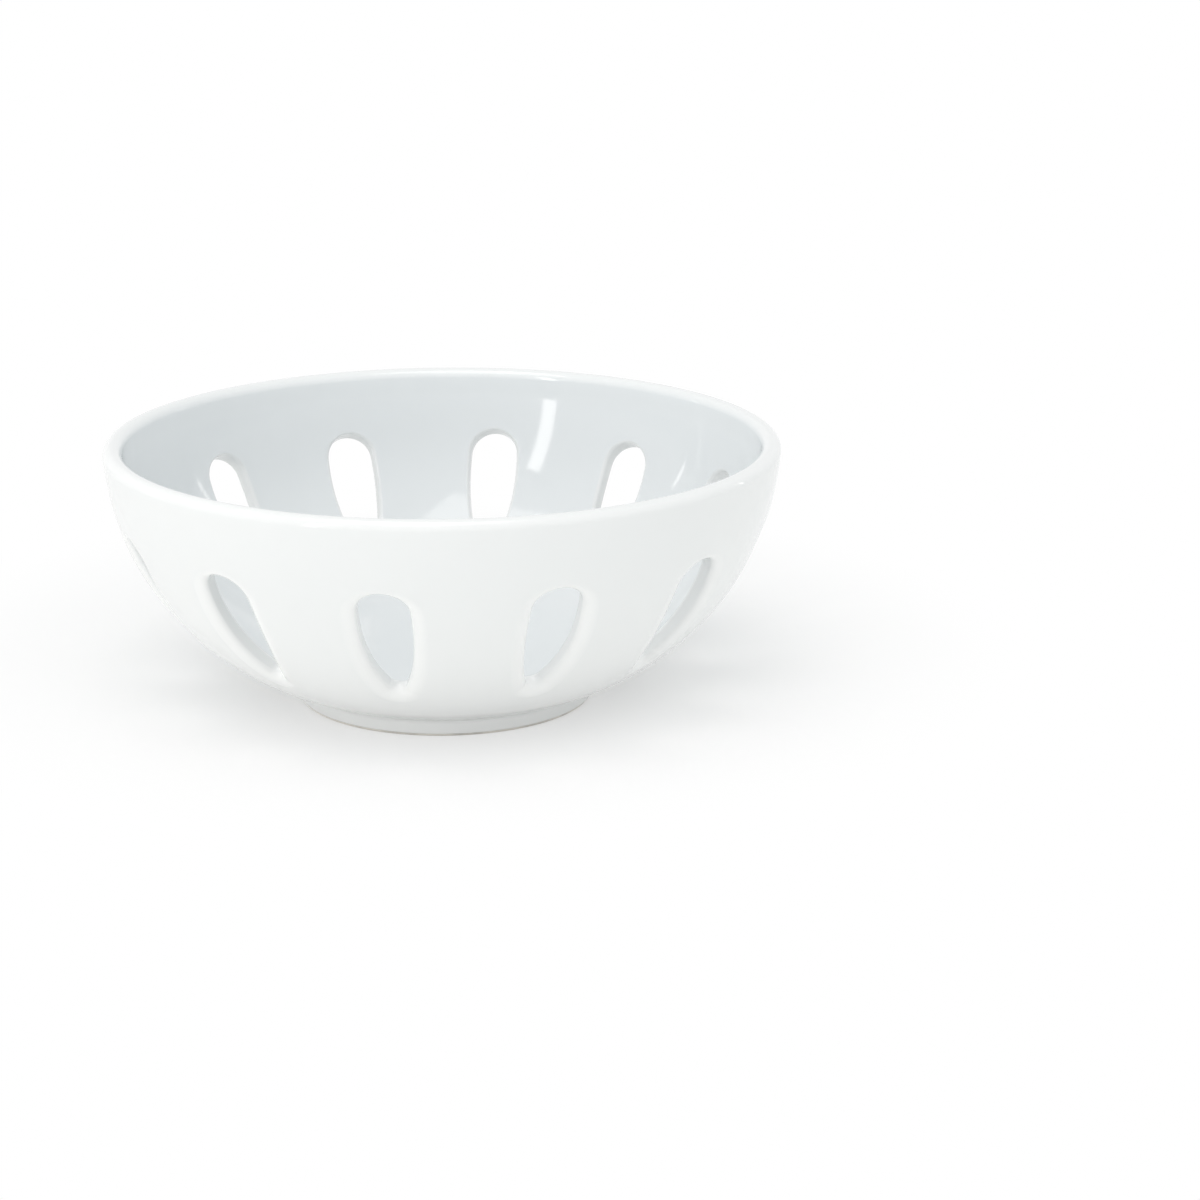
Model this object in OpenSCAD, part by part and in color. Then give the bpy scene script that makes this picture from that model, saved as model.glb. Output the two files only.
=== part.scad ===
// Berry colander bowl: a porcelain bowl on a low foot ring, pierced by a ring of teardrop slots.
// Millimetres, +Z up. The origin is the centre of the foot's resting edge, on the table.

/* [Bowl] */
// Outside diameter of the rim, over the glaze
rim_d = 152; // [135:1:175]
// Height from the resting edge to the top of the rim
bowl_h = 60; // [54:1:72]
// Lean of the wall at the lip, in degrees from upright
lip_lean = 3.5; // [1:0.5:8]
// How far the lip swells past the wall on each side
lip_swell = 0.1; // [0.05:0.05:0.5]
// Thickness of the fired clay in the wall
wall_t = 3.4; // [2.8:0.1:5]
// Thickness of the fired clay in the middle of the floor
floor_t = 3.6; // [2.8:0.1:6]
// Radius of the floor's shallow dish inside
floor_curve_r = 250; // [200:5:400]

/* [Foot ring] */
// Outside diameter of the foot ring at the table, over the glaze
foot_d = 67; // [60:1:76]
// Height of the foot ring's outer side, up to the wall
foot_h = 4; // [3:0.5:7]
// How far each side of the foot widens from the table up to the wall
foot_flare = 0.6; // [0.2:0.1:1.5]
// Width of the foot ring at the table
foot_w = 4.4; // [3:0.1:6]
// Bevel of the resting edge's two corners
foot_bevel = 0.4; // [0.2:0.1:0.8]
// Height of the flat underside over the table, as a share of the foot's height
well_share = 0.63; // [0.5:0.01:0.9]

/* [Glaze] */
// Thickness of the fired glaze
glaze_t = 0.4; // [0.3:0.05:0.6]
// Height of the bare band above the table, where the glaze ends
glaze_line_h = 0.6; // [0.5:0.1:2]

/* [Slots] */
// Number of slots around the wall
slot_count = 12; // [8:1:13]
// Clear length of a slot, along the outside of the wall
slot_len = 31.5; // [26:0.5:38]
// Clear width of a slot at its wide upper end
slot_w = 11.3; // [9:0.1:14]
// Clear width of a slot's round lower tip
slot_tip_w = 4; // [3:0.1:8]
// Radius of the bulge along a slot's two long sides
slot_side_r = 60; // [45:1:300]
// Height of a slot's upper end, on the outside of the wall
slot_top_z = 43.2; // [40:0.2:47]

/* [Hidden] */
$fn = 180;

// How far a cutting shape runs past the face that it opens
cut_overrun = 3;

// The wall with its glaze on both faces, and the full round of the lip
glazed_t = wall_t + 2 * glaze_t;
lip_r = glazed_t / 2 + lip_swell;
rim_r = rim_d / 2;
lip_centre = [rim_r - lip_r, bowl_h - lip_r];

// The foot's outer side meets the wall here
foot_r = foot_d / 2;
foot_root = [foot_r + foot_flare, foot_h];
foot_mid_r = foot_r - foot_w / 2;

// One circular curve runs from the lip down to the foot's root: its radii and its centre
half_t = glazed_t / 2;
lean_way = [cos(lip_lean), -sin(lip_lean)];
lip_to_root = foot_root - lip_centre;
middle_r = (lip_to_root * lip_to_root - half_t ^ 2) / (2 * (half_t - lean_way * lip_to_root));
outer_r = middle_r + half_t;
inner_r = middle_r - half_t;
curve_centre = lip_centre - middle_r * lean_way;

// Heights of the flat underside and of the floor's middle, over the glaze
well_z = well_share * foot_h;
floor_z = well_z + floor_t + 2 * glaze_t;

// A slot spans this angle of the wall's curve, and is cut square to the wall at its middle
slot_span = slot_len / outer_r * 180 / PI;
slot_turn = asin((curve_centre.y - slot_top_z) / outer_r) + slot_span / 2;
slot_chord = 2 * outer_r * sin(slot_span / 2);
slot_start = inner_r * cos(slot_span / 2) - cut_overrun;
slot_end = outer_r + cut_overrun;

// A slot's outline: a circle at each end, and on each side a long arc that touches both
top_r = slot_w / 2;
tip_r = slot_tip_w / 2;
top_centre = [top_r - slot_chord / 2, 0];
tip_centre = [slot_chord / 2 - tip_r, 0];
ends_gap = tip_centre.x - top_centre.x;
side_down = (ends_gap ^ 2 - (top_r - tip_r) * (2 * slot_side_r - top_r - tip_r)) / (2 * ends_gap);
side_out = sqrt((slot_side_r - top_r) ^ 2 - side_down ^ 2);
side_centre = top_centre + [side_down, -side_out];

// A point on the line from one point towards another, a given way along
function along(from, to, way) = from + (to - from) * way / norm(to - from);

// One long side of a slot's outline, from its middle line out to the arc
module slot_side(spread) {
    far = slot_side_r + slot_len;
    intersection() {
        translate(side_centre) circle(slot_side_r + spread);
        polygon([
            top_centre,
            along(side_centre, top_centre, far),
            along(side_centre, tip_centre, far),
            tip_centre
        ]);
    }
}

// A slot's outline, spread outwards, with its tip towards +X
module slot_outline(spread) {
    translate(top_centre) circle(top_r + spread);
    translate(tip_centre) circle(tip_r + spread);
    slot_side(spread);
    mirror([0, 1]) slot_side(spread);
}

// The solids that open all the slots through the wall
module slot_cuts(spread) {
    for (k = [0 : slot_count - 1])
        rotate(k * 360 / slot_count)
            translate([curve_centre.x, 0, curve_centre.y])
                rotate([0, 90 + slot_turn, 0])
                    translate([0, 0, slot_start])
                        linear_extrude(slot_end - slot_start)
                            slot_outline(spread);
}

// Everything within the wall's outer face and above the underside, set in from the glazed faces
module outside(inset) {
    under_z = well_z + inset;
    intersection() {
        union() {
            translate(curve_centre) circle(outer_r - inset);
            square([foot_mid_r, lip_centre.y]);
        }
        translate([0, under_z]) square([rim_r, lip_centre.y - under_z]);
    }
}

// The room inside the bowl, widened past its glazed faces
module inside(inset) {
    intersection() {
        union() {
            translate(curve_centre) circle(inner_r + inset);
            square([curve_centre.x, curve_centre.y]);
        }
        translate([0, floor_z + floor_curve_r]) circle(floor_curve_r + inset);
    }
}

// The section of the floor, wall and lip
module section(inset) {
    difference() {
        outside(inset);
        inside(inset);
    }
    translate(lip_centre) circle(lip_r - inset);
}

// The section of the foot ring, run up to the middle of the wall
module foot_section(inset) {
    top = foot_h + 2 * glazed_t;
    widen = foot_flare * top / foot_h;
    outer_x = foot_r - inset;
    inner_x = foot_r - foot_w + inset;
    difference() {
        polygon([
            [inner_x + foot_bevel, 0],
            [outer_x - foot_bevel, 0],
            [outer_x, foot_bevel],
            [outer_x + widen, top],
            [inner_x - widen, top],
            [inner_x, foot_bevel]
        ]);
        inside(half_t);
    }
}

// The glaze all round the section, save the bare band at the table
module skin() {
    difference() {
        union() {
            section(0);
            foot_section(0);
        }
        section(glaze_t);
        foot_section(glaze_t);
        square([rim_r, glaze_line_h]);
    }
}

// The glaze on the outside and the underside
module outer_skin() {
    difference() {
        skin();
        inside(half_t);
    }
}

// The clay bowl: floor, wall and lip in one piece, pierced by the slots
module bowl_body() {
    color("whitesmoke")
        difference() {
            rotate_extrude() section(glaze_t);
            slot_cuts(glaze_t);
        }
}

// The clay ring under the floor, with its bare resting edge
module foot_ring() {
    color("linen")
        rotate_extrude()
            difference() {
                foot_section(glaze_t);
                outside(glaze_t);
            }
}

// Glaze over the floor and the wall inside, up to the crest of the lip
module inner_glaze() {
    color("white")
        difference() {
            rotate_extrude()
                intersection() {
                    skin();
                    inside(half_t);
                }
            slot_cuts(glaze_t);
        }
}

// Glaze over the wall outside, from the crest of the lip down the foot's side
module outer_glaze() {
    color("white")
        difference() {
            rotate_extrude()
                intersection() {
                    outer_skin();
                    translate([foot_mid_r, 0]) square([rim_r, bowl_h]);
                }
            slot_cuts(glaze_t);
        }
}

// Glaze that lines each slot, from the outer face to the inner one
module slot_glaze() {
    color("white")
        difference() {
            intersection() {
                rotate_extrude() section(0);
                slot_cuts(glaze_t);
            }
            slot_cuts(0);
        }
}

// Glaze on the underside, within the foot ring
module well_glaze() {
    color("white")
        rotate_extrude()
            intersection() {
                outer_skin();
                square([foot_mid_r, bowl_h]);
            }
}

bowl_body();
foot_ring();
inner_glaze();
outer_glaze();
slot_glaze();
well_glaze();
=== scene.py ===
# %% [markdown]
# A glazed porcelain colander bowl.
# The real object is one thrown and pierced bowl of white porcelain, glazed all over save for the
# thin edge that it stands on. Twelve teardrop slots let water and air through its wall.
# This lesson loads the solid model, remakes the bowl with the soft edges that a glaze leaves,
# gives it its finishes, and sets it in a white studio. Lengths are in millimetres until a mesh is made,
# and in metres for the lamps.

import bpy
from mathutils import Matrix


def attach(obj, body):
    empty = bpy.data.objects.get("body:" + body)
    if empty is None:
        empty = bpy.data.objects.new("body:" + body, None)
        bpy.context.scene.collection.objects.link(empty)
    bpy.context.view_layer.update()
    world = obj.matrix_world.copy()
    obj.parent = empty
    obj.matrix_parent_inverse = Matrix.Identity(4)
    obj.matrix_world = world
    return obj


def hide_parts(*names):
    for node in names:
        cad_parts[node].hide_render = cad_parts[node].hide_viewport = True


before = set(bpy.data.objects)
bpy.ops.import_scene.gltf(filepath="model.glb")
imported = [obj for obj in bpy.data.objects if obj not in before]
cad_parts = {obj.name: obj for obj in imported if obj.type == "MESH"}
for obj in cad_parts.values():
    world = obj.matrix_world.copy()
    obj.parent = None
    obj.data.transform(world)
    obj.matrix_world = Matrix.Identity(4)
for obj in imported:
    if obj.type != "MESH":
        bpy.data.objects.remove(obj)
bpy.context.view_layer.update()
print("solid pieces:", ", ".join(sorted(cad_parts)))

# %% [markdown]
# The curve of the wall.
# A thrown bowl rises in one flowing curve. Here the middle of the wall is an arc that leaves the lip at a
# slight lean, and the wall's outer face ends at the foot's root. The arc's centre and radius follow from
# those two conditions. The sizes and the formula are the solid model's, so that both have one shape.

# %% Work out the wall's curve
import math
from collections import namedtuple

import bmesh
import bpy
import numpy as np
from mathutils import Matrix, Vector

MM = 0.001
RIM_D = 152.0
BOWL_H = 60.0
LIP_LEAN = math.radians(3.5)
LIP_SWELL = 0.1
WALL_T = 3.4
GLAZE_T = 0.4
FOOT_D = 67.0
FOOT_H = 4.0
FOOT_FLARE = 0.6


def heading(turn):
    """The way in which an angle points, for one angle or many."""
    return np.stack([np.cos(turn), np.sin(turn)], axis=-1)


def angle_of(way):
    """The angle in which a way points."""
    return math.atan2(way[1], way[0])


glazed_t = WALL_T + 2 * GLAZE_T
half_t = glazed_t / 2
lip_centre = np.array([RIM_D / 2, BOWL_H]) - half_t - LIP_SWELL
foot_root = np.array([FOOT_D / 2 + FOOT_FLARE, FOOT_H])
lean_way = heading(-LIP_LEAN)
lip_to_root = foot_root - lip_centre
middle_r = (lip_to_root @ lip_to_root - half_t**2) / (2 * (half_t - lean_way @ lip_to_root))
outer_r = middle_r + half_t
inner_r = middle_r - half_t
centre = lip_centre - middle_r * lean_way
print("wall curve: centre", centre.round(3), "radius", round(float(middle_r), 3))

# %% [markdown]
# The outline of a slot.
# A slot is a teardrop: a wide round top, a narrow round tip, and a long shallow bulge on each side.
# Three arcs that touch make one half of it, and the other half is its mirror image.
# Walking round them step by step gives points, and at each one the way out of the slot.

# %% Describe the slot's outline
SLOT_COUNT = 12
SLOT_LEN = 31.5
SLOT_W = 11.3
SLOT_TIP_W = 4.0
SLOT_SIDE_R = 60.0
SLOT_TOP_Z = 43.2
TOP_STEPS, SIDE_STEPS, TIP_STEPS = 14, 14, 8

slot_span = SLOT_LEN / outer_r
slot_turn = math.asin((centre[1] - SLOT_TOP_Z) / outer_r) + slot_span / 2
slot_chord = 2 * outer_r * math.sin(slot_span / 2)
top_r, tip_r = SLOT_W / 2, SLOT_TIP_W / 2
top_centre = np.array([top_r - slot_chord / 2, 0.0])
tip_centre = np.array([slot_chord / 2 - tip_r, 0.0])
ends_gap = tip_centre[0] - top_centre[0]
side_down = (ends_gap**2 - (top_r - tip_r) * (2 * SLOT_SIDE_R - top_r - tip_r)) / (2 * ends_gap)
side_centre = top_centre + [side_down, -math.sqrt((SLOT_SIDE_R - top_r) ** 2 - side_down**2)]
top_turn = angle_of(top_centre - side_centre)
tip_turn = angle_of(tip_centre - side_centre)
half_steps = TOP_STEPS + SIDE_STEPS + TIP_STEPS
slot_arcs = [
    (top_centre, top_r, math.pi, top_turn, TOP_STEPS),
    (side_centre, SLOT_SIDE_R, top_turn, tip_turn, SIDE_STEPS),
    (tip_centre, tip_r, tip_turn, 0.0, TIP_STEPS),
]


def outline(step):
    """Point and outward way on the outline, counted from the top. The tip is at half_steps."""
    step = np.mod(np.asarray(step, float), 2 * half_steps)
    flip = np.where(step > half_steps, -1.0, 1.0)
    step = np.where(step > half_steps, 2 * half_steps - step, step)
    point, way = np.zeros(step.shape + (2,)), np.zeros(step.shape + (2,))
    done = 0
    for middle, radius, start, stop, steps in slot_arcs:
        here = (step >= done) & (step <= done + steps)
        way[here] = heading(start + (stop - start) * (step[here] - done) / steps)
        point[here] = middle + radius * way[here]
        done += steps
    point[..., 1] *= flip
    way[..., 1] *= flip
    return point, way


cut_below = round(math.degrees(slot_turn), 2)
print("slot: chord", round(float(slot_chord), 2), "mm, cut", cut_below, "degrees below level")

# %% [markdown]
# Where a slot meets the wall.
# A slot is cut straight, square to the wall at its middle, while the wall curves away from it both down
# and round the bowl. So the slot has a frame of its own: down along it, across it, and out along the cut.
# Where a line along the cut meets the curved face is found by a first guess and a few corrections.

# %% Place the slot's points on the wall
FACE_TRIES = 8

slot_origin = np.array([centre[0], 0, centre[1]])
slot_out = np.array([math.cos(slot_turn), 0, -math.sin(slot_turn)])
slot_down = np.array([-math.sin(slot_turn), 0, -math.cos(slot_turn)])
slot_across = np.array([0.0, 1.0, 0.0])


def unit(ways):
    """Ways with their length made one."""
    return ways / np.linalg.norm(ways, axis=-1, keepdims=True)


def flat_way(across):
    """A way within the slot's outline, in the bowl's frame."""
    return across[..., :1] * slot_down + across[..., 1:] * slot_across


def in_space(across, depth):
    """A point of the slot's own frame, in the bowl's frame."""
    return slot_origin + flat_way(across) + depth[..., None] * slot_out


def from_curve(points):
    """How far some points lie from the wall curve's centre, as a way out of the wall."""
    r = np.hypot(points[..., 0], points[..., 1])
    out = (r - centre[0]) / r
    return np.stack([out * points[..., 0], out * points[..., 1], points[..., 2] - centre[1]], axis=-1)


def face_way(points):
    """The way straight out of the wall's curve at some points."""
    return unit(from_curve(points))


def depth_at_face(across, radius):
    """How far out along the cut a line through the slot's frame meets the wall's face."""
    depth = np.full(across.shape[:-1], radius)
    for _ in range(FACE_TRIES):
        points = in_space(across, depth)
        miss = radius - np.linalg.norm(from_curve(points), axis=-1)
        depth = depth + miss / (face_way(points) @ slot_out)
    return depth


slot_middle = np.zeros(2)
cut_length = depth_at_face(slot_middle, outer_r) - depth_at_face(slot_middle, inner_r)
print("the cut through the middle of a slot is", round(float(cut_length), 3), "mm long")

# %% [markdown]
# The softened edge of a slot.
# The potter cuts the slots square through the leather-hard wall and sponges the edges, and the glaze
# then rounds them further, more outside than inside. A bevel on a boolean cut would pinch and facet here,
# so the rounding is written as a formula: an arc that leaves the face where it is still untouched and
# ends on the slot's own wall. How far it reaches over the face, and how deep it ends, change from the
# slot's top to its sides and its tip. Its true normals come from the same formula, for clean reflections.

# %% Write the slot's edge as a formula
SMALL_STEP = 1e-4
OUTSIDE, INSIDE = 1, -1
SlotEdge = namedtuple("SlotEdge", "radius reaches depths side")
outer_edge = SlotEdge(outer_r, reaches=(1.4, 3.5, 4.3), depths=(1.1, 1.9, 2.6), side=OUTSIDE)
inner_edge = SlotEdge(inner_r, reaches=(0.45, 0.9, 1.2), depths=(0.45, 0.9, 1.15), side=INSIDE)


def round_the_slot(way, lengths):
    """A length that changes round the slot: one at its top, one at its sides and one at its tip."""
    top, sides, tip = lengths
    end = np.where(way[..., 0] < 0, top, tip)
    return sides + (end - sides) * way[..., 0] ** 2


def soft_edge(step, share, edge):
    """A point on the rounded edge: share is 0 on the face and 1 on the slot's wall."""
    point, way = outline(step)
    reach = round_the_slot(way, edge.reaches)
    start = point + reach[..., None] * way
    start_depth = depth_at_face(start, edge.radius)
    face = face_way(in_space(start, start_depth))
    slope = -(face * flat_way(way)).sum(-1) / (face @ slot_out)
    corner = start_depth - reach * slope
    length = reach * np.sqrt(1 + slope**2)
    end_depth = corner - edge.side * round_the_slot(way, edge.depths)
    weight = np.sqrt((1 + edge.side * slope * reach / length) / 2)
    first, mid, last = (1 - share) ** 2, 2 * weight * share * (1 - share), share**2
    total = first + mid + last
    out = reach * first / total
    depth = (first * start_depth + mid * corner + last * end_depth) / total
    return in_space(point + out[..., None] * way, depth)


def soft_edge_normal(step, share, edge):
    """The outward normal there, from small steps along and across the edge."""
    along = soft_edge(step + SMALL_STEP, share, edge) - soft_edge(step - SMALL_STEP, share, edge)
    across = soft_edge(step, share + SMALL_STEP, edge) - soft_edge(step, share - SMALL_STEP, edge)
    normal = unit(np.cross(along, across))
    into_slot = -flat_way(outline(step)[1])
    outward = (1 - share)[..., None] * edge.side * slot_out + share[..., None] * into_slot
    return normal * np.sign((normal * outward).sum(-1))[..., None]


slot_ends = np.array([0.0, half_steps])
edge_span = soft_edge(slot_ends, np.zeros(2), outer_edge) - soft_edge(slot_ends, np.ones(2), outer_edge)
top_span, tip_span = np.linalg.norm(edge_span, axis=-1).round(2)
print("soft edge outside:", top_span, "mm wide at the slot's top,", tip_span, "mm at its tip")

# %% [markdown]
# Tools for a turned profile.
# Everything away from the slots is a surface of revolution, as a lathe would cut it. A lathe needs only
# a line, made here of arcs and straights that touch smoothly, each point with its normal.
# One more tool searches for the place at which two curves touch.

# %% Make the tools that draw a profile
BULGE, HOLLOW = 1, -1
SEARCH_TRIES = 60


def arc(middle, radius, start, stop, steps, bend):
    """Points and normals along an arc. bend says whether the surface is a BULGE or HOLLOW."""
    way = heading(np.linspace(start, stop, steps + 1))
    return middle + radius * way, bend * way


def straight(start, stop, steps, normal):
    """Points along a line that all share one normal."""
    share = np.linspace(0, 1, steps + 1)[:, None]
    return start + share * (np.asarray(stop) - start), np.tile(normal, (steps + 1, 1))


def chain(*pieces):
    """Profile pieces end to end, without doubling the points where they touch."""
    points = np.concatenate([pieces[0][0]] + [p[0][1:] for p in pieces[1:]])
    normals = np.concatenate([pieces[0][1]] + [p[1][1:] for p in pieces[1:]])
    return points, normals


def settle(low, high, miss):
    """The value between low and high at which miss crosses zero."""
    for _ in range(SEARCH_TRIES):
        mid = (low + high) / 2
        low, high = (mid, high) if (miss(low) > 0) == (miss(mid) > 0) else (low, mid)
    return (low + high) / 2


print("profile tools:", ", ".join(tool.__name__ for tool in (arc, straight, chain, settle)))

# %% [markdown]
# The lip.
# A potter rounds the rim with a wet leather, which leaves it full and a touch thicker than the wall.
# So both faces of the wall swell slightly towards the lip, and half a circle joins them over the top.
# The lip stays a hair inside the solid model's, so that the dressed bowl never outgrows it.

# %% Draw the lip
SWELL_FROM = math.radians(8.0)
LIP_SHY = 0.015
SMALL_TURN = 1e-5

lip_rise = LIP_SWELL - LIP_SHY


def lip_side(side, steps):
    """The wall's face from the slots' grid up to the lip, swelling slightly."""
    def point(turn):
        share = (SWELL_FROM - turn) / (SWELL_FROM - LIP_LEAN)
        reach = middle_r + side * (half_t + lip_rise * (3 * share**2 - 2 * share**3))
        return centre + reach[:, None] * heading(-turn)

    turn = np.linspace(SWELL_FROM, LIP_LEAN, steps + 1)
    along = unit(point(turn + SMALL_TURN) - point(turn - SMALL_TURN))
    return point(turn), side * np.stack([-along[:, 1], along[:, 0]], axis=-1)


lip_profile = chain(
    lip_side(OUTSIDE, steps=5),
    arc(lip_centre, half_t + lip_rise, -LIP_LEAN, math.pi - LIP_LEAN, steps=20, bend=BULGE),
    [part[::-1] for part in lip_side(INSIDE, steps=5)],
)
lip_d = 2 * float(lip_profile[0][:, 0].max())
print("lip:", round(lip_d, 2), "mm across,", len(lip_profile[0]), "points in its profile")

# %% [markdown]
# The side of the foot.
# The foot is a low ring whose side widens a little towards the bowl. Where it meets the wall the glaze
# fills the corner, so a small hollow round touches both. Its height is searched for, because the round
# has to touch a straight and an arc at once.

# %% Find where the foot's side rounds into the wall
FOOT_W = 4.4
FOOT_BEVEL = 0.4
FOOT_ROOT_R = 1.6
ROOT_LOWEST, ROOT_HIGHEST = 0.5, 6.0

side_top = FOOT_H + 2 * glazed_t
side_lean = FOOT_FLARE * side_top / FOOT_H / (side_top - FOOT_BEVEL)
side_way = unit(np.array([side_lean, 1.0]))
side_normal = np.array([side_way[1], -side_way[0]])


def foot_side(z, inner=False):
    """A point on the glazed side of the foot, outside or inside the ring."""
    run = side_lean * (z - FOOT_BEVEL)
    return np.array([FOOT_D / 2 - FOOT_W - run if inner else FOOT_D / 2 + run, z])


def root_round(z):
    """The centre of a round that touches the foot's side at some height."""
    return foot_side(z) + FOOT_ROOT_R * side_normal


def root_miss(z):
    """How far that round is from touching the wall as well."""
    return np.linalg.norm(root_round(z) - centre) - outer_r - FOOT_ROOT_R


root_z = settle(ROOT_LOWEST, ROOT_HIGHEST, root_miss)
root_centre = root_round(root_z)
print("foot's root starts at", foot_side(root_z).round(2))

# %% [markdown]
# The belly, the foot and the underside.
# Below the slots one line runs down the belly, round the foot's root and down its side to the bead in
# which the glaze ends, just over the table. It crosses to a second bead inside the ring, and climbs to
# the sunk underside that keeps the bowl from rocking. The mesh ends on the axis with a small cap.

# %% Draw the outside below the slots
WELL_SHARE = 0.63
WELL_CORNER_R = 0.9
GLAZE_LINE_H = 0.6
GLAZE_BEAD_R = 0.38
GRID_BOTTOM = math.radians(58.0)
CAP_R = 0.8
UP, DOWN = (0, 1), (0, -1)

mirror = np.array([-1.0, 1.0])
tilt = angle_of(side_normal)
bead_z = GLAZE_LINE_H + GLAZE_BEAD_R * (1 + side_normal[1])
bead_out = foot_side(bead_z) - GLAZE_BEAD_R * side_normal
bead_in = foot_side(bead_z, True) - GLAZE_BEAD_R * side_normal * mirror
bead_drop = np.array([0, GLAZE_BEAD_R])
well_z = WELL_SHARE * FOOT_H
well_start = well_z - WELL_CORNER_R * (1 + side_normal[1])
well_centre = foot_side(well_start, True) + WELL_CORNER_R * side_normal * mirror
well_cap = np.array([CAP_R, well_z])
under_profile = chain(
    arc(centre, outer_r, -GRID_BOTTOM, angle_of(root_centre - centre), steps=6, bend=BULGE),
    arc(root_centre, FOOT_ROOT_R, angle_of(centre - root_centre), math.pi + tilt, steps=8, bend=HOLLOW),
    straight(foot_side(root_z), foot_side(bead_z), steps=3, normal=side_normal),
    arc(bead_out, GLAZE_BEAD_R, tilt, -math.pi / 2, steps=6, bend=BULGE),
    straight(bead_out - bead_drop, bead_in - bead_drop, steps=2, normal=DOWN),
    arc(bead_in, GLAZE_BEAD_R, -math.pi / 2, -math.pi - tilt, steps=6, bend=BULGE),
    straight(foot_side(bead_z, True), foot_side(well_start, True), steps=2, normal=side_normal * mirror),
    arc(well_centre, WELL_CORNER_R, -tilt, math.pi / 2, steps=6, bend=HOLLOW),
    straight(np.array([well_centre[0], well_z]), well_cap, steps=10, normal=DOWN),
    straight(well_cap, [0, well_z], steps=1, normal=DOWN),
)
print("below the slots:", len(under_profile[0]), "points, underside", round(well_z, 2), "mm over the table")

# %% [markdown]
# The floor.
# Inside, the wall runs down past the slots and blends into a shallow dish, so that a spoon or a sponge
# finds no corner. A wide round touches the wall's arc and the dish's arc, again found by searching.

# %% Draw the floor
FLOOR_T = 3.6
FLOOR_CURVE_R = 250.0
FLOOR_BLEND_R = 25.0

floor_z = well_z + FLOOR_T + 2 * GLAZE_T
dish_centre = np.array([0, floor_z + FLOOR_CURVE_R])


def blend_round(turn):
    """The centre of a round that touches the wall's inner face at some angle."""
    return centre + (inner_r - FLOOR_BLEND_R) * heading(turn)


def blend_miss(turn):
    """How far that round is from touching the dish as well."""
    return np.linalg.norm(blend_round(turn) - dish_centre) - FLOOR_CURVE_R + FLOOR_BLEND_R


blend_turn = settle(-math.pi / 2, -GRID_BOTTOM, blend_miss)
blend_centre = blend_round(blend_turn)
floor_turn = angle_of(blend_centre - dish_centre)
cap_turn = CAP_R / FLOOR_CURVE_R - math.pi / 2
floor_profile = chain(
    arc(centre, inner_r, -GRID_BOTTOM, blend_turn, steps=3, bend=HOLLOW),
    arc(blend_centre, FLOOR_BLEND_R, blend_turn, floor_turn, steps=8, bend=HOLLOW),
    arc(dish_centre, FLOOR_CURVE_R, floor_turn, cap_turn, steps=16, bend=HOLLOW),
    straight(np.array([CAP_R, floor_z]), [0, floor_z], steps=1, normal=UP),
)
blend_below = round(-math.degrees(blend_turn), 1)
print("floor:", round(floor_z, 2), "mm up, blends into the wall", blend_below, "degrees below level")

# %% [markdown]
# The grid round a slot.
# The bowl repeats every thirty degrees, so one sector of it is enough. Round the slot the faces are an
# O-grid: rings that start as the slot's outline and end as the sector's straight borders, so that no edge
# loop is cut and every point lies on the true curve.

# %% Lay rings of points round a slot
TOP_COLUMNS, BOTTOM_COLUMNS = 10, 6
GRID_RINGS = 8
RING_CROWDING = 1.25

sector_turn = 2 * math.pi / SLOT_COUNT
steps_round = np.arange(2.0 * half_steps)


def on_face(radius, down, turn):
    """A point on the wall's face, by its angle below level and its angle round the bowl."""
    r = centre[0] + radius * np.cos(down)
    return np.stack([r * np.cos(turn), r * np.sin(turn), centre[1] - radius * np.sin(down)], axis=-1)


def sector_border():
    """Angles of the sector's border, one for each step of the slot's outline."""
    half = np.arange(half_steps + 1)
    corners = [0, TOP_COLUMNS, half_steps - BOTTOM_COLUMNS, half_steps]
    turn = np.interp(half, corners, [0, sector_turn / 2, sector_turn / 2, 0])
    down = np.interp(half, corners, [SWELL_FROM, SWELL_FROM, GRID_BOTTOM, GRID_BOTTOM])
    return np.concatenate([down, down[-2:0:-1]]), np.concatenate([turn, -turn[-2:0:-1]])


def grid_rings(edge):
    """Rings on one face, from the rounded edge out to the sector's border."""
    start = soft_edge(steps_round, np.zeros(steps_round.shape), edge)
    r = np.hypot(start[:, 0], start[:, 1])
    down = np.arctan2(centre[1] - start[:, 2], r - centre[0])
    turn = np.arctan2(start[:, 1], start[:, 0])
    border_down, border_turn = sector_border()
    rings = []
    for share in np.linspace(0, 1, GRID_RINGS + 1) ** RING_CROWDING:
        ring_down = down + share * (border_down - down)
        ring_turn = turn + share * (border_turn - turn)
        points = on_face(edge.radius, ring_down, ring_turn)
        rings.append((points, edge.side * face_way(points)))
    return rings


outer_rings, inner_rings = grid_rings(outer_edge), grid_rings(inner_edge)
print("grid:", len(outer_rings), "rings on each face, of", len(steps_round), "points")

# %% [markdown]
# A holder for one sector.
# The sector's points come from several formulas, so a small class collects them with their normals and
# faces. It also keeps how thin the glaze runs and how far it pools at each point, for its colour later; the
# thin share also paints a highlight, and the pooled share also paints shade.

# %% Write the class that collects a sector
TINY = 1e-6


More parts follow.
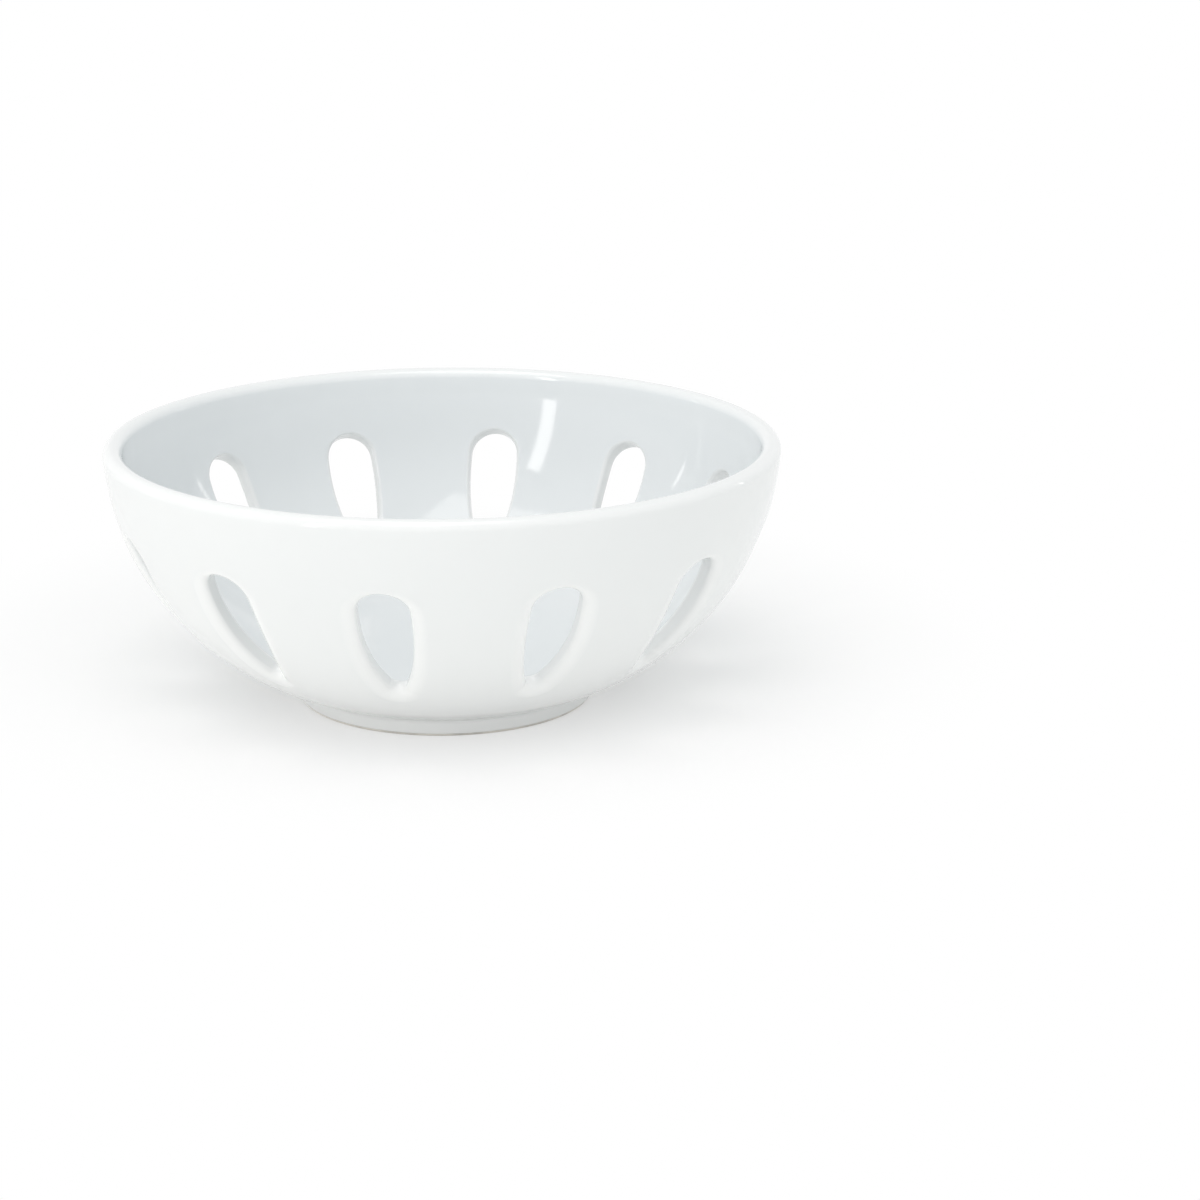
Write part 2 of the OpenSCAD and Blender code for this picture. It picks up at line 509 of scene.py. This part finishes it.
class Sector:
    """Collects points, normals, glaze shares with their painted highlight and shade, and faces of one
    sector.
    """

    def __init__(self):
        self.points, self.normals, self.thin, self.pooled, self.faces = [], [], [], [], []

    def add(self, points, normals, thin=0.0, pooled=0.0):
        """Adds a row of points and gives back their numbers."""
        start = len(self.points)
        self.points += [tuple(p) for p in points]
        self.normals += [tuple(n) for n in normals]
        self.thin += [thin] * len(points)
        self.pooled += [pooled] * len(points)
        return np.arange(start, start + len(points))

    def bridge(self, one, other, closed):
        """Adds faces between two rows of equal length."""
        for k in range(len(one) if closed else len(one) - 1):
            n = (k + 1) % len(one)
            self.faces.append((one[k], one[n], other[n], other[k]))

    def turn_profile(self, profile, turns, thin=0.0, pooled=0.0):
        """Turns a profile round the axis. Where it reaches the axis, triangles close it."""
        rows = []
        glaze = [np.broadcast_to(share, len(profile[0])) for share in (thin, pooled)]
        for (r, z), (normal_r, normal_z), *depth in zip(*profile, *glaze):
            if r < TINY:
                tip = self.add([(0, 0, z)], [(0, 0, normal_z)], *depth)[0]
                self.faces += [(rows[-1][k], rows[-1][k + 1], tip) for k in range(len(turns) - 1)]
                break
            points = np.column_stack([r * heading(turns), np.full(len(turns), z)])
            normals = np.column_stack([normal_r * heading(turns), np.full(len(turns), normal_z)])
            rows.append(self.add(points, normals, *depth))
            if len(rows) > 1:
                self.bridge(rows[-2], rows[-1], False)


trial_band = straight(np.array([FOOT_D / 2, 0.0]), [FOOT_D / 2, FOOT_H], steps=1, normal=(1, 0))
trial_sector = Sector()
trial_sector.turn_profile(trial_band, np.linspace(0, sector_turn, 3))
print("a band turned in two steps:", len(trial_sector.points), "points,", len(trial_sector.faces), "faces")

# %% [markdown]
# One slot's share of the bowl.
# The rings run from the border outside, over the rounded edge, through the slot and out to the border
# inside. Strips of the turned profiles close the sector above and below. The glaze runs thin halfway
# round each edge and on top of the lip, and it pools on the faces inside the bowl. The lighter tint of the
# thin glaze is partly a painted highlight, and the darker tint of the pooled glaze is partly painted shade.

# %% Build one sector as a mesh
ROUND_OUT_STEPS, ROUND_IN_STEPS = 9, 6


def edge_ring(sector, edge, share, pooled):
    """Adds one ring of the slot's rounded edge."""
    place = (steps_round, np.full(steps_round.shape, share), edge)
    # The lighter tint halfway round each edge is partly thin glaze and partly a painted highlight.
    thin = math.sin(math.pi * share)
    return sector.add(soft_edge(*place), soft_edge_normal(*place), thin, pooled)


def build_sector():
    sector = Sector()
    shares_out = np.linspace(0, 1, ROUND_OUT_STEPS + 1)[1:]
    shares_in = np.linspace(0, 1, ROUND_IN_STEPS + 1)[:0:-1]
    rings = [sector.add(*ring) for ring in outer_rings[::-1]]
    rings += [edge_ring(sector, outer_edge, share, pooled=0.0) for share in shares_out]
    # The inner edge and the whole inside get the darker, cooler tint, which is partly pooled glaze and
    # partly painted shade.
    rings += [edge_ring(sector, inner_edge, share, pooled=1 - share) for share in shares_in]
    rings += [sector.add(*ring, pooled=1.0) for ring in inner_rings]
    for one, other in zip(rings, rings[1:]):
        sector.bridge(one, other, True)
    top_turns = np.linspace(-sector_turn / 2, sector_turn / 2, 2 * TOP_COLUMNS + 1)
    bottom_turns = np.linspace(-sector_turn / 2, sector_turn / 2, 2 * BOTTOM_COLUMNS + 1)
    outward, upward = lip_profile[1].T
    # On the lip, the top that faces up gets the lighter tint, partly thin glaze and partly a painted
    # highlight; the side that faces in gets the darker tint, partly pooled glaze and partly painted shade.
    sector.turn_profile(lip_profile, top_turns, thin=np.clip(upward, 0, 1), pooled=np.clip(-outward, 0, 1))
    sector.turn_profile(under_profile, bottom_turns)
    sector.turn_profile(floor_profile, bottom_turns, pooled=1.0)
    return sector


bowl_sector = build_sector()
print("sector:", len(bowl_sector.points), "points,", len(bowl_sector.faces), "faces")

# %% [markdown]
# From numbers to an object.
# A mesh can carry a value on each point as an attribute. The glaze's two values, which also carry painted
# highlight and painted shade, go in that way, and so do
# the normals: they are stored as parts outward, sideways and up, which stay true when a copy of the sector
# is turned round the axis.

# %% Make an object of the sector


def round_parts(points):
    """Cosine and sine of the angle at which each point lies round the axis."""
    r = np.maximum(np.hypot(points[:, 0], points[:, 1]), TINY)
    return points[:, 0] / r, points[:, 1] / r


def turn_ways(ways, cosine, sine):
    """Ways turned round the axis, each by its own angle."""
    x, y, z = ways.T
    return np.stack([x * cosine - y * sine, x * sine + y * cosine, z], axis=-1)


def to_object(sector, name):
    """A sector as an object, with its attributes."""
    mesh = bpy.data.meshes.new(name)
    points, normals = np.array(sector.points), np.array(sector.normals)
    mesh.from_pydata((points * MM).tolist(), [], sector.faces)
    cosine, sine = round_parts(points)
    turned = turn_ways(normals, cosine, -sine)
    mesh.attributes.new("turned_normal", "FLOAT_VECTOR", "POINT").data.foreach_set("vector", turned.ravel())
    for kind, values in (("thin_glaze", sector.thin), ("pooled_glaze", sector.pooled)):
        mesh.attributes.new(kind, "FLOAT", "POINT").data.foreach_set("value", np.array(values, float))
    thing = bpy.data.objects.new(name, mesh)
    bpy.context.scene.collection.objects.link(thing)
    return thing


glazed_sector = to_object(bowl_sector, "glazed_bowl")
carried = [a.name for a in glazed_sector.data.attributes if a.name.endswith(("normal", "glaze"))]
print(glazed_sector.name, "carries", ", ".join(carried))

# %% [markdown]
# Writing nodes as sums.
# Node trees are easier to read as expressions, so one small class wraps a socket and adds Math nodes
# for the usual operators. Every other node comes from its one method, which takes the node's type,
# its settings and what goes into its sockets. It serves both shaders and Geometry Nodes.

# %% Wrap sockets in a small class


class Wire:
    """An output socket that can be used in sums."""

    def __init__(self, tree, socket):
        self.tree, self.socket = tree, socket

    @classmethod
    def node(cls, tree, kind, settings=None, sockets=None, output=0):
        """Adds a node and gives back one of its outputs, if it has any."""
        made = tree.nodes.new(kind)
        for name, value in (settings or {}).items():
            setattr(made, name, value)
        for name, value in (sockets or {}).items():
            goal = cls.find(made.inputs, name)
            if isinstance(value, Wire):
                tree.links.new(value.socket, goal)
            else:
                goal.default_value = value
        return cls(tree, cls.find(made.outputs, output)) if made.outputs else None

    @staticmethod
    def find(sockets, name):
        """A socket by its number, its identifier or its name."""
        if isinstance(name, int):
            return sockets[name]
        by_mark = [s for s in sockets if s.identifier == name]
        return (by_mark or [s for s in sockets if s.name == name])[0]

    def maths(self, operation, one, other):
        return Wire.node(self.tree, "ShaderNodeMath", {"operation": operation}, {0: one, 1: other})

    def clamped(self):
        """The same value, held between 0 and 1."""
        return Wire.node(self.tree, "ShaderNodeClamp", None, {"Value": self})

    def __add__(self, other):
        return self.maths("ADD", self, other)

    __radd__ = __add__

    def __sub__(self, other):
        return self.maths("SUBTRACT", self, other)

    def __rsub__(self, other):
        return self.maths("SUBTRACT", other, self)

    def __mul__(self, other):
        return self.maths("MULTIPLY", self, other)

    __rmul__ = __mul__

    def __truediv__(self, other):
        return self.maths("DIVIDE", self, other)

    def __rtruediv__(self, other):
        return self.maths("DIVIDE", other, self)


trial_tree = bpy.data.node_groups.new("trial", "ShaderNodeTree")
trial_sum = 1 - 2 * Wire.node(trial_tree, "ShaderNodeValue")
last_step = trial_sum.socket.node.operation
print("1 - 2 * value:", len(trial_tree.nodes), "nodes, and the last is", last_step)
bpy.data.node_groups.remove(trial_tree)

# %% [markdown]
# Repeating a sector with Geometry Nodes.
# The slots are a ring of equal perforations, which is what instancing is for: the tree sets one copy
# of the sector at each turn, makes the copies real, welds the borders and gives the material.
# The same tree turns the bare edge of the foot, from a narrower sector.

# %% Build the tree that turns a sector into a ring


def ring_tree():
    tree = bpy.data.node_groups.new("turn_into_ring", "GeometryNodeTree")
    tree.is_modifier = True
    inputs = {"Sector": "Geometry", "Copies": "Int", "Weld": "Float", "Finish": "Material"}
    tree.interface.new_socket("Geometry", in_out="OUTPUT", socket_type="NodeSocketGeometry")
    for name, kind in inputs.items():
        tree.interface.new_socket(name, in_out="INPUT", socket_type="NodeSocket" + kind)
    sector, copies, weld, finish = (Wire.node(tree, "NodeGroupInput", output=name) for name in inputs)
    turn = Wire.node(tree, "GeometryNodeInputIndex") * (2 * math.pi) / copies
    way = Wire.node(tree, "ShaderNodeCombineXYZ", None, {"Z": turn})
    places = Wire.node(tree, "GeometryNodePoints", None, {"Count": copies})
    shape = Wire.node(
        tree, "GeometryNodeInstanceOnPoints", None, {"Points": places, "Instance": sector, "Rotation": way}
    )
    shape = Wire.node(tree, "GeometryNodeRealizeInstances", None, {"Geometry": shape})
    shape = Wire.node(tree, "GeometryNodeMergeByDistance", None, {"Geometry": shape, "Distance": weld})
    shape = Wire.node(tree, "GeometryNodeSetShadeSmooth", None, {"Geometry": shape})
    shape = Wire.node(tree, "GeometryNodeSetMaterial", None, {"Geometry": shape, "Material": finish})
    Wire.node(tree, "NodeGroupOutput", None, {"Geometry": shape})
    return tree


ring = ring_tree()
print("ring tree:", len(ring.nodes), "nodes")

# %% [markdown]
# From the tree to a plain mesh.
# A modifier's result isn't yet a mesh that can be exported, so the evaluated object is copied into one.
# Its faces are then turned outwards, and the stored normals are turned back to where each copy stands.
# They, and not the flat faces, decide how the gloss reflects.

# %% Write the step that makes the ring real
WELD = 0.002 * MM


def read_ways(data, name):
    """A vector for each item of a mesh's data."""
    values = np.zeros(len(data) * 3)
    data.foreach_get(name, values)
    return values.reshape(-1, 3)


def face_outwards(mesh):
    """Turns all faces outwards and counts the edges at which the mesh isn't closed."""
    shape = bmesh.new()
    shape.from_mesh(mesh)
    bmesh.ops.recalc_face_normals(shape, faces=shape.faces)
    open_edges = sum(not e.is_manifold for e in shape.edges)
    shape.to_mesh(mesh)
    shape.free()
    return open_edges


def set_true_normals(mesh):
    """Sets the normals that the formulas gave."""
    turned = mesh.attributes["turned_normal"]
    normals = turn_ways(read_ways(turned.data, "vector"), *round_parts(read_ways(mesh.vertices, "co")))
    mesh.normals_split_custom_set_from_vertices(normals.tolist())
    mesh.attributes.remove(mesh.attributes["turned_normal"])


def turn_into_ring(sector, tree, copies, finish):
    """The sector's object, with the finished ring as its own plain mesh."""
    modifier = sector.modifiers.new("ring", "NODES")
    modifier.node_group = tree
    marks = {s.name: s.identifier for s in tree.interface.items_tree if s.in_out == "INPUT"}
    for name, value in (("Copies", copies), ("Weld", WELD), ("Finish", finish)):
        modifier[marks[name]] = value
    bpy.context.view_layer.update()
    mesh = bpy.data.meshes.new_from_object(sector.evaluated_get(bpy.context.evaluated_depsgraph_get()))
    sector.modifiers.remove(modifier)
    sector.data = mesh
    mesh.name = sector.name
    open_edges = face_outwards(mesh)
    set_true_normals(mesh)
    triangles = sum(len(p.vertices) - 2 for p in mesh.polygons)
    counts = len(mesh.vertices), "points,", triangles, "triangles,", open_edges, "open edges"
    print(sector.name + ":", *counts)
    return sector


print("copies are welded within", WELD / MM, "mm")

# %% [markdown]
# Tools for the finishes.
# A finish is a small node tree. Its patterns are read from Object coordinates, which stay with the piece,
# and are counted in millimetres, so that a grain or a speck can be given its real size.

# %% Make the tools that mix a finish


def new_material(name):
    """An empty material and its tree."""
    material = bpy.data.materials.new(name)
    material.use_nodes = True
    material.node_tree.nodes.clear()
    return material, material.node_tree


def millimetres(tree):
    """Object coordinates counted in millimetres."""
    place = Wire.node(tree, "ShaderNodeTexCoord", output="Object")
    scaled = {"Vector": place, "Scale": 1 / MM}
    return Wire.node(tree, "ShaderNodeVectorMath", {"operation": "SCALE"}, scaled)


def noise(tree, place, size, detail):
    """Soft noise whose lumps are about one size across, from 0 to 1."""
    return Wire.node(
        tree, "ShaderNodeTexNoise", {"noise_dimensions": "3D"},
        {"Vector": place, "Scale": 1 / size, "Detail": detail}, "Fac",
    )


def attribute(tree, name):
    """A value that the mesh carries on its points."""
    return Wire.node(tree, "ShaderNodeAttribute", {"attribute_name": name}, None, "Fac")


def blend(tree, share, one, other):
    """One colour changing into another."""
    return Wire.node(
        tree, "ShaderNodeMix", {"data_type": "RGBA"},
        {"Factor_Float": share, "A_Color": one, "B_Color": other}, "Result_Color",
    )


print("finish tools:", ", ".join(tool.__name__ for tool in (millimetres, noise, attribute, blend)))

# %% [markdown]
# The glaze.
# White porcelain glaze is a clear glossy glass over a white body. It isn't flat: it runs thin on the lip
# and the slots' edges, where the white body shows, and gathers a little thicker and cooler inside the bowl.
# The lighter tint on top of the lip and on the edges is partly a painted highlight, and the darker, cooler
# tint over the whole inside is partly painted shade.
# It has a faint orange peel, and it wavers slowly, so that reflections are not ruled straight.
# These go into colour, roughness and bump.

# %% Mix the white glaze
GLAZE_COLOURS = (0.848, 0.856, 0.852, 1), (0.864, 0.87, 0.866, 1)
# The pooled colour is darker and cooler than the glaze: partly thicker glaze, and partly painted shade over
# the whole inside of the bowl.
POOLED_AND_SHADED_COLOUR = (0.828, 0.849, 0.857, 1)
# The thin colour is lighter than the glaze: partly the white body through thin glaze, and partly a painted
# highlight on the top of the lip and the slots' edges.
THIN_AND_HIGHLIT_COLOUR = (0.918, 0.918, 0.911, 1)
POOLED_AND_SHADED_SHARE, POOLED_AND_SHADED_BY_CLOUD = 0.85, 0.3
THIN_AND_HIGHLIT_SHARE = 0.75
CLOUD_SIZE, WAVER_SIZE, PEEL_SIZE = 38.0, 17.0, 2.6
GLAZE_ROUGHNESS, ROUGH_BY_CLOUD, ROUGH_BY_PEEL = 0.045, 0.03, 0.02
PEEL_HEIGHT_SHARE = 0.12
GLAZE_BUMP, GLAZE_BUMP_H = 0.35, 0.06
GLAZE_IOR = 1.5


def white_glaze():
    material, tree = new_material("white_glaze")
    place = millimetres(tree)
    thin, pooled = attribute(tree, "thin_glaze"), attribute(tree, "pooled_glaze")
    cloud = noise(tree, place, CLOUD_SIZE, detail=2.0)
    peel = noise(tree, place, PEEL_SIZE, detail=1.0)
    waver = noise(tree, place, WAVER_SIZE, detail=1.0)
    colour = blend(tree, cloud, *GLAZE_COLOURS)
    # Painted shade, mixed with the thicker glaze: the inside of the bowl darker and cooler.
    colour = blend(tree, pooled * (POOLED_AND_SHADED_SHARE + POOLED_AND_SHADED_BY_CLOUD * cloud), colour, POOLED_AND_SHADED_COLOUR)
    # Painted highlight, mixed with the thin glaze: the top of the lip and the slots' edges lighter.
    colour = blend(tree, thin * THIN_AND_HIGHLIT_SHARE, colour, THIN_AND_HIGHLIT_COLOUR)
    rough = GLAZE_ROUGHNESS + ROUGH_BY_CLOUD * cloud + ROUGH_BY_PEEL * peel
    height = peel * PEEL_HEIGHT_SHARE + waver
    bump = Wire.node(
        tree, "ShaderNodeBump", None,
        {"Strength": GLAZE_BUMP, "Distance": GLAZE_BUMP_H * MM, "Height": height},
    )
    surface = Wire.node(
        tree, "ShaderNodeBsdfPrincipled", None,
        {"Base Color": colour, "Roughness": rough, "Normal": bump, "IOR": GLAZE_IOR},
    )
    Wire.node(tree, "ShaderNodeOutputMaterial", None, {"Surface": surface})
    return material


glazed_bowl = turn_into_ring(glazed_sector, ring, SLOT_COUNT, white_glaze())
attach(glazed_bowl, "root")
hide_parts("bowl_body", "inner_glaze", "outer_glaze", "slot_glaze", "well_glaze")

# %% [markdown]
# Bare clay.
# A pot can't be fired standing on wet glaze, so the potter wipes its resting edge clean. What is left
# is bare fired clay, matte and a little warmer than the glaze, with the fine lines of the turning tool
# round it and grey scuffs where it has slid over tables. The lines are noise that changes with the
# distance from the axis alone.

# %% Mix the bare clay
CLAY_COLOURS = (0.76, 0.73, 0.67, 1), (0.68, 0.65, 0.6, 1)
GRAIN_COLOUR = (0.82, 0.79, 0.74, 1)
SCUFF_COLOUR = (0.4, 0.39, 0.38, 1)
LINE_SIZE, GRAIN_SIZE, PATCH_SIZE = 0.22, 0.35, 6.0
GRAIN_SHARE = 0.5
SCUFF_FROM, SCUFF_GAIN = 0.5, 5.0
CLAY_ROUGHNESS, ROUGH_BY_GRAIN = 0.78, 0.15
CLAY_BUMP, CLAY_BUMP_H = 0.6, 0.04


def bare_clay():
    material, tree = new_material("bare_clay")
    place = millimetres(tree)
    flat = Wire.node(tree, "ShaderNodeVectorMath", {"operation": "MULTIPLY"}, {0: place, 1: (1, 1, 0)})
    radius = Wire.node(tree, "ShaderNodeVectorMath", {"operation": "LENGTH"}, {"Vector": flat}, "Value")
    across = Wire.node(tree, "ShaderNodeCombineXYZ", None, {"X": radius})
    lines = noise(tree, across, LINE_SIZE, detail=1.0)
    grain = noise(tree, place, GRAIN_SIZE, detail=3.0)
    patch = noise(tree, place, PATCH_SIZE, detail=3.0)
    scuff = ((patch - SCUFF_FROM) * SCUFF_GAIN).clamped() * lines
    colour = blend(tree, patch, *CLAY_COLOURS)
    colour = blend(tree, grain * GRAIN_SHARE, colour, GRAIN_COLOUR)
    colour = blend(tree, scuff, colour, SCUFF_COLOUR)
    rough = CLAY_ROUGHNESS + ROUGH_BY_GRAIN * grain
    bump = Wire.node(
        tree, "ShaderNodeBump", None,
        {"Strength": CLAY_BUMP, "Distance": CLAY_BUMP_H * MM, "Height": grain + lines},
    )
    surface = Wire.node(
        tree, "ShaderNodeBsdfPrincipled", None, {"Base Color": colour, "Roughness": rough, "Normal": bump}
    )
    Wire.node(tree, "ShaderNodeOutputMaterial", None, {"Surface": surface})
    return material


clay = bare_clay()
print("bare clay:", len(clay.node_tree.nodes), "nodes")

# %% [markdown]
# The resting edge.
# The bare edge is the lowest part of the foot ring, with its two corners taken off so that it doesn't chip.
# It is a closed ring of its own, turned by the same tree, and runs a little way up into the glaze so that
# no gap shows at the line where the glaze ends.

# %% Turn the bare resting edge
EDGE_COLUMNS = 144
TUCK = 0.35
INWARD, OUTWARD = (-1, 0), (1, 0)

edge_in, edge_out = FOOT_D / 2 - FOOT_W + GLAZE_T, FOOT_D / 2 - GLAZE_T
edge_top = GLAZE_LINE_H + TUCK
flat_in, flat_out = edge_in + FOOT_BEVEL, edge_out - FOOT_BEVEL
edge_profile = chain(
    straight(np.array([edge_in, edge_top]), [edge_in, FOOT_BEVEL], steps=3, normal=INWARD),
    arc(np.array([flat_in, FOOT_BEVEL]), FOOT_BEVEL, math.pi, 1.5 * math.pi, steps=5, bend=BULGE),
    straight(np.array([flat_in, 0.0]), [flat_out, 0], steps=4, normal=DOWN),
    arc(np.array([flat_out, FOOT_BEVEL]), FOOT_BEVEL, -math.pi / 2, 0, steps=5, bend=BULGE),
    straight(np.array([edge_out, FOOT_BEVEL]), [edge_out, edge_top], steps=3, normal=OUTWARD),
)
top_profile = straight(np.array([edge_out, edge_top]), [edge_in, edge_top], steps=2, normal=UP)
edge_turns = np.linspace(-math.pi / EDGE_COLUMNS, math.pi / EDGE_COLUMNS, 2)
edge_sector = Sector()
edge_sector.turn_profile(edge_profile, edge_turns)
edge_sector.turn_profile(top_profile, edge_turns)
foot_edge = turn_into_ring(to_object(edge_sector, "bare_foot_edge"), ring, EDGE_COLUMNS, clay)
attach(foot_edge, "root")
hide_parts("foot_ring")

# %% [markdown]
# The table.
# The bowl stands on a white table without an edge. Close to the bowl the table is a real surface that takes
# its shadow, and further out it turns plain white. That white is only for what the camera sees, straight or
# in a reflection. Light that falls on the bowl comes from the real surface.

# %% Lay the table
CAMERA_TURN = math.radians(10.58)
TABLE_R = 6.0
TABLE_SIDES = 96
TABLE_PAPER = (0.93, 0.93, 0.92, 1)
PLAIN_WHITE = (1, 1, 1, 1)
WHITE_NEAR_SHARE = 0.35
WHITE_FROM, WHITE_TO = 42.0, 140.0
WHITE_BEHIND = 40.0


def seen_directly(tree):
    """1 for what the camera sees, straight or in a reflection, and 0 for light that falls on the bowl."""
    kinds = ("Camera", "Glossy", "Transmission")
    straight_on, mirrored, through = (
        Wire.node(tree, "ShaderNodeLightPath", output=f"Is {kind} Ray") for kind in kinds
    )
    return straight_on + mirrored + through


def table_material():
    material, tree = new_material("white_table")
    behind = (-WHITE_BEHIND * math.sin(CAMERA_TURN), WHITE_BEHIND * math.cos(CAMERA_TURN), 0)
    away = Wire.node(
        tree, "ShaderNodeVectorMath", {"operation": "DISTANCE"}, {0: millimetres(tree), 1: behind}, "Value"
    )
    reach = {"From Min": WHITE_FROM, "From Max": WHITE_TO, "To Min": WHITE_NEAR_SHARE, "To Max": 1.0}
    fade = Wire.node(
        tree, "ShaderNodeMapRange", {"interpolation_type": "SMOOTHSTEP"}, {"Value": away, **reach}
    )
    paper = Wire.node(tree, "ShaderNodeBsdfDiffuse", None, {"Color": TABLE_PAPER})
    white = Wire.node(tree, "ShaderNodeEmission", None, {"Color": PLAIN_WHITE, "Strength": 1.0})
    both = Wire.node(tree, "ShaderNodeMixShader", None, {0: fade * seen_directly(tree), 1: paper, 2: white})
    Wire.node(tree, "ShaderNodeOutputMaterial", None, {"Surface": both})
    return material


def make_table():
    mesh = bpy.data.meshes.new("white_table")
    shape = bmesh.new()
    bmesh.ops.create_circle(shape, cap_ends=True, segments=TABLE_SIDES, radius=TABLE_R)
    shape.to_mesh(mesh)
    shape.free()
    mesh.materials.append(table_material())
    table = bpy.data.objects.new("white_table", mesh)
    bpy.context.scene.collection.objects.link(table)
    print("table:", 2 * TABLE_R, "m across, plain white from", WHITE_TO, "mm away")


make_table()

# %% [markdown]
# The room.
# An even white room surrounds the bowl, a little cooler than the lamps. As on the table, the camera sees
# plain white there, while the bowl is lit by the room's own softer level.

# %% Light the room
ROOM_COLOUR, ROOM_LEVEL = (0.93, 0.98, 1, 1), 0.64


def set_room():
    world = bpy.data.worlds.new("white_room")
    bpy.context.scene.world = world
    world.use_nodes = True
    tree = world.node_tree
    tree.nodes.clear()
    soft = Wire.node(tree, "ShaderNodeBackground", None, {"Color": ROOM_COLOUR, "Strength": ROOM_LEVEL})
    white = Wire.node(tree, "ShaderNodeBackground", None, {"Color": PLAIN_WHITE, "Strength": 1.0})
    both = Wire.node(tree, "ShaderNodeMixShader", None, {0: seen_directly(tree), 1: soft, 2: white})
    Wire.node(tree, "ShaderNodeOutputWorld", None, {"Surface": both})
    print(world.name, "at level", ROOM_LEVEL)


set_room()

# %% [markdown]
# The lamps.
# One large soft light hangs overhead. The bright table throws light up at the outside of the wall, helped by
# two long cards near the table, while the steep inside has more of the room's cooler light. A slim window to
# the left of the camera, and two slits further round, draw thin bright lines in the gloss.

# %% Hang the lamps
LAMP_COLOUR = (1, 0.965, 0.94)
LAMP_AIM = Vector((0, 0, 0.03))
CARD = {"away": 1.1, "height": 0.11, "size": (1.1, 0.2), "power": 2.2, "mirrored": False}
SLIT = {"away": 1.2, "height": 0.28, "size": (0.03, 0.31), "power": 0.12}


def soft_light(name, azimuth, away, height, size, power, mirrored=True):
    """A rectangular light, so many degrees to the right of the camera. mirrored lets the gloss show it."""
    turn = math.radians(azimuth) + CAMERA_TURN
    place = Vector((away * math.sin(turn), -away * math.cos(turn), height))
    data = bpy.data.lights.new(name, "AREA")
    data.shape = "RECTANGLE"
    data.size, data.size_y = size
    data.energy = power
    data.color = LAMP_COLOUR
    lamp = bpy.data.objects.new(name, data)
    lamp.location = place
    lamp.rotation_mode = "QUATERNION"
    lamp.rotation_quaternion = (LAMP_AIM - place).to_track_quat("-Z", "Y")
    lamp.visible_glossy = mirrored
    bpy.context.scene.collection.objects.link(lamp)
    print(name, "at", [round(v, 2) for v in place], "with", power, "W")


soft_light("overhead", azimuth=-35, away=0.35, height=1.45, size=(1.0, 1.0), power=7.1)
soft_light("left_card", azimuth=-60, **CARD)
soft_light("right_card", azimuth=60, **CARD)
soft_light("window", azimuth=-42, away=1.3, height=0.47, size=(0.13, 0.94), power=2.2)
soft_light("left_slit", azimuth=-110, **SLIT)
soft_light("right_slit", azimuth=114, **SLIT)

# %% [markdown]
# The camera.
# Its place, aim and lens repeat the photograph's view: a long lens a little above the rim, aimed to the
# right of the bowl. The front slot of the model is at -Y, and the camera stands a little to its right.

# %% Set the camera
CAMERA_RISE = math.radians(15.47)
CAMERA_YAW = math.radians(2.84)
CAMERA_PITCH = math.radians(-0.64)
CAMERA_AWAY, AIM_Z = 739.3, 30.0
FOCAL_PIXELS, PHOTO_PIXELS = 3246.4, 1200
SENSOR_W = 36.0
NEAREST, FURTHEST = 0.01, 50.0


def set_camera():
    place = Vector((0, -math.cos(CAMERA_RISE), math.sin(CAMERA_RISE))) * CAMERA_AWAY + Vector((0, 0, AIM_Z))
    dip = CAMERA_PITCH - CAMERA_RISE
    level = Vector((math.sin(CAMERA_YAW), math.cos(CAMERA_YAW), 0))
    ahead = level * math.cos(dip) + Vector((0, 0, math.sin(dip)))
    turn = Matrix.Rotation(CAMERA_TURN, 3, "Z")
    data = bpy.data.cameras.new("camera")
    data.sensor_width = SENSOR_W
    data.lens = SENSOR_W * FOCAL_PIXELS / PHOTO_PIXELS
    data.clip_start, data.clip_end = NEAREST, FURTHEST
    camera = bpy.data.objects.new("camera", data)
    camera.rotation_mode = "QUATERNION"
    camera.location = turn @ place * MM
    camera.rotation_quaternion = (turn @ ahead).to_track_quat("-Z", "Y")
    bpy.context.scene.collection.objects.link(camera)
    bpy.context.scene.camera = camera
    print("camera at", [round(v, 3) for v in camera.location], "with a", round(data.lens, 1), "mm lens")


set_camera()
bpy.context.scene.view_settings.view_transform = "Standard"
